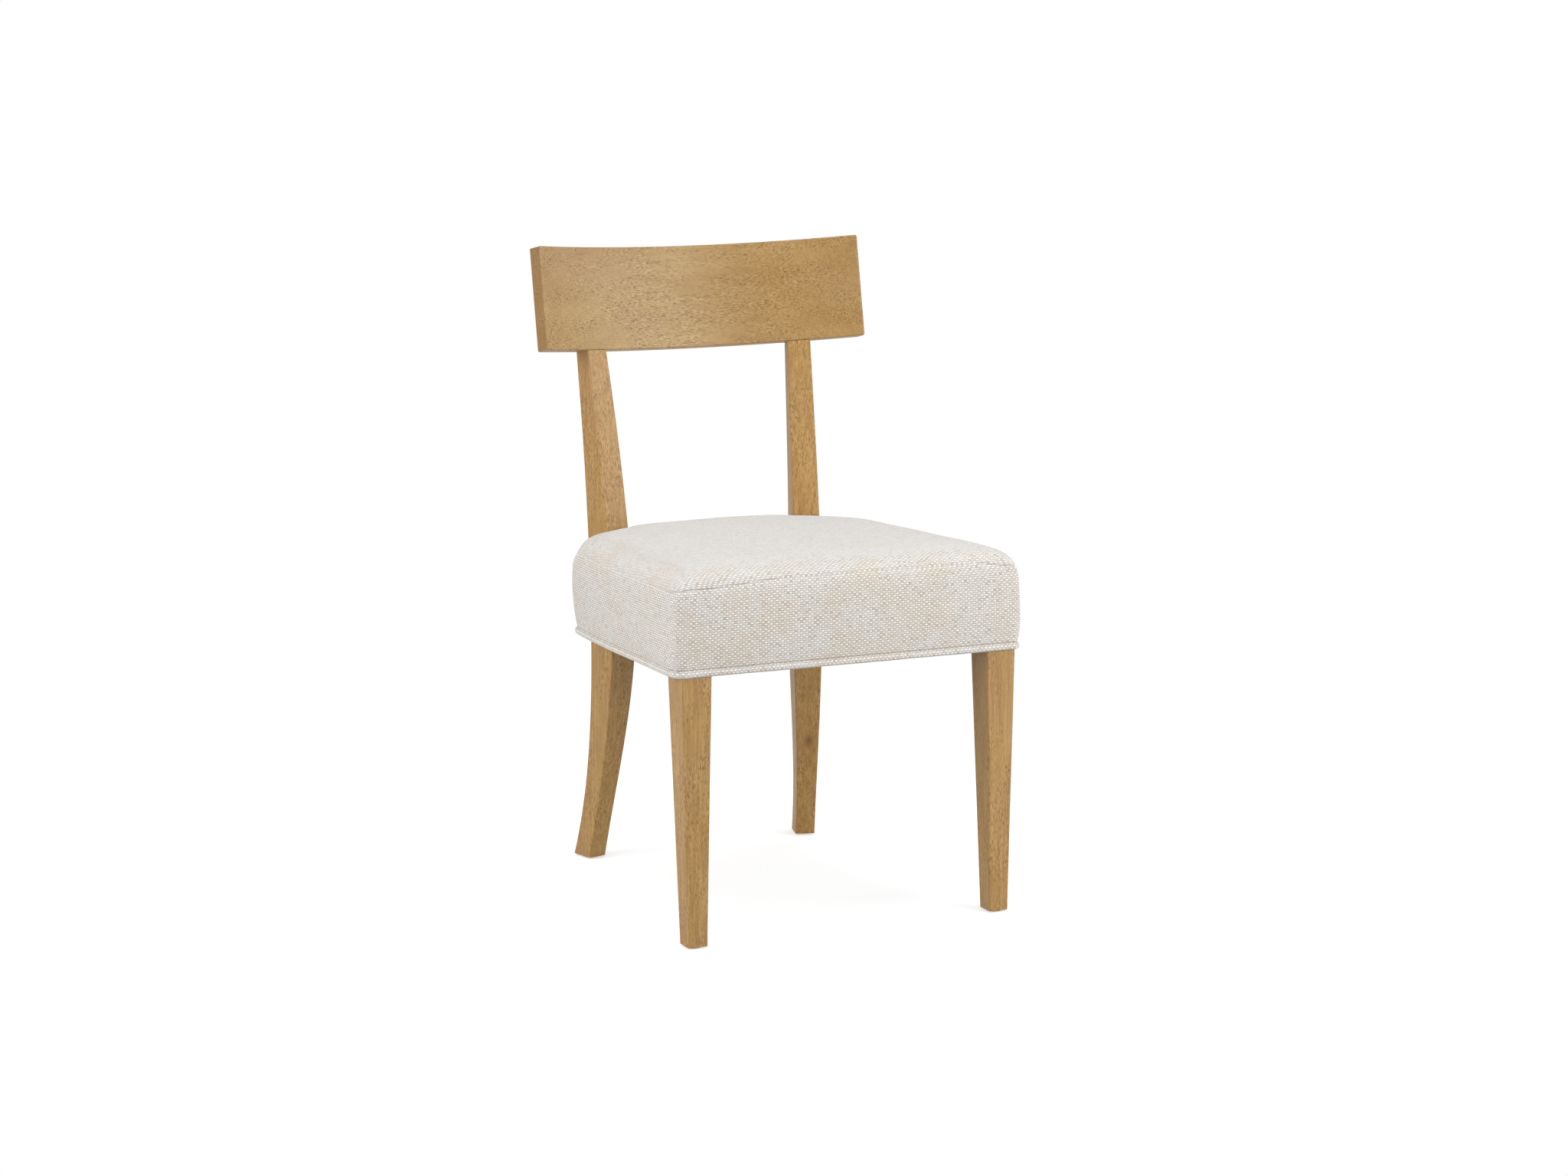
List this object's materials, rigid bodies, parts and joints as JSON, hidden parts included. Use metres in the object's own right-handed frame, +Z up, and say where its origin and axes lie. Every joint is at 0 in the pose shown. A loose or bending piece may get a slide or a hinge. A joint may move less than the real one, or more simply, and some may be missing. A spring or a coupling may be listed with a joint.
{
  "type": "dining chair",
  "caption": "Klismos dining chair with curved crest rail, sabre rear legs, tapered front legs and a tight welted upholstered seat.",
  "frame": {"origin": "on the floor, under the middle of the chair's overall box", "axes": "+Z up, -Y the way the sitter faces, +X to the right as seen from the front"},
  "size_m": [0.5, 0.5919, 0.8812],
  "materials": {
    "stained_hardwood": "satin lacquer over a light honey stain",
    "frame_wood": "planed, unfinished",
    "dowel_wood": "fluted beech, unfinished",
    "plywood": "sanded plywood",
    "foam": "cut polyurethane foam",
    "wadding": "bonded polyester wadding",
    "seat_fabric": "coarse basket weave, off-white and oatmeal",
    "dust_cloth": "black non-woven cloth",
    "steel": "zinc plated",
    "nylon": "moulded nylon"
  },
  "bodies": {
    "root": {"brace_screws": "steel", "cover_back_band": "seat_fabric", "cover_side_band": "seat_fabric", "cover_top_panel": "seat_fabric", "crest_rail": "stained_hardwood", "deck_screws": "steel", "dust_cover": "dust_cloth", "dust_cover_staples": "steel", "ear_screws": "steel", "floor_glides": "nylon", "front_corner_brace_left": "frame_wood", "front_corner_brace_right": "frame_wood", "front_leg_left": "stained_hardwood", "front_leg_right": "stained_hardwood", "front_seat_rail": "frame_wood", "glide_nails": "steel", "rail_dowels": "dowel_wood", "rear_corner_brace_left": "frame_wood", "rear_corner_brace_right": "frame_wood", "rear_corner_ear_left": "frame_wood", "rear_corner_ear_right": "frame_wood", "rear_leg_left": "stained_hardwood", "rear_leg_right": "stained_hardwood", "rear_seat_rail": "frame_wood", "seat_deck": "plywood", "seat_foam": "foam", "side_seat_rail_left": "frame_wood", "side_seat_rail_right": "frame_wood", "wadding_back": "wadding", "wadding_front": "wadding", "welt_back": "seat_fabric", "welt_front": "seat_fabric"}
  },
  "joints": []
}
